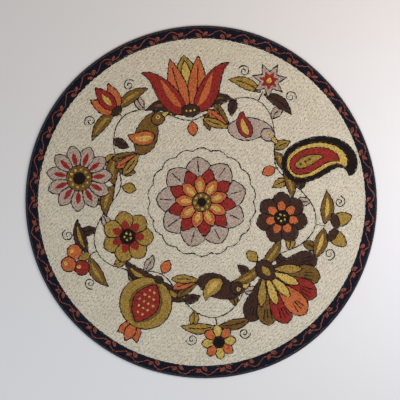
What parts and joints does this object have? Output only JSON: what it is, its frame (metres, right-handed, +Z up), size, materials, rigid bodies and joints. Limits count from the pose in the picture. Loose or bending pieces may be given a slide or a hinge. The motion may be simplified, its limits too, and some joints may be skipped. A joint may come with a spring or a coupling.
{
  "type": "hooked rug",
  "caption": "Round hand-hooked wool rug with a cream field, a dark border and a whipped edge, lying flat on the floor.",
  "frame": {"origin": "on the floor, under the middle of the rug's outline", "axes": "+Z up out of the pile, +Y towards the top of the pattern as it is looked at"},
  "size_m": [1.517, 1.521, 0.0089],
  "materials": {
    "wool_pile": "matt wool loops in cream, navy, rust, gold, brown and taupe",
    "edge_yarn": "slate wool yarn whipped over a cord"
  },
  "bodies": {
    "root": {"hooked_rug": "wool_pile", "whipped_edge": "edge_yarn"}
  },
  "joints": []
}
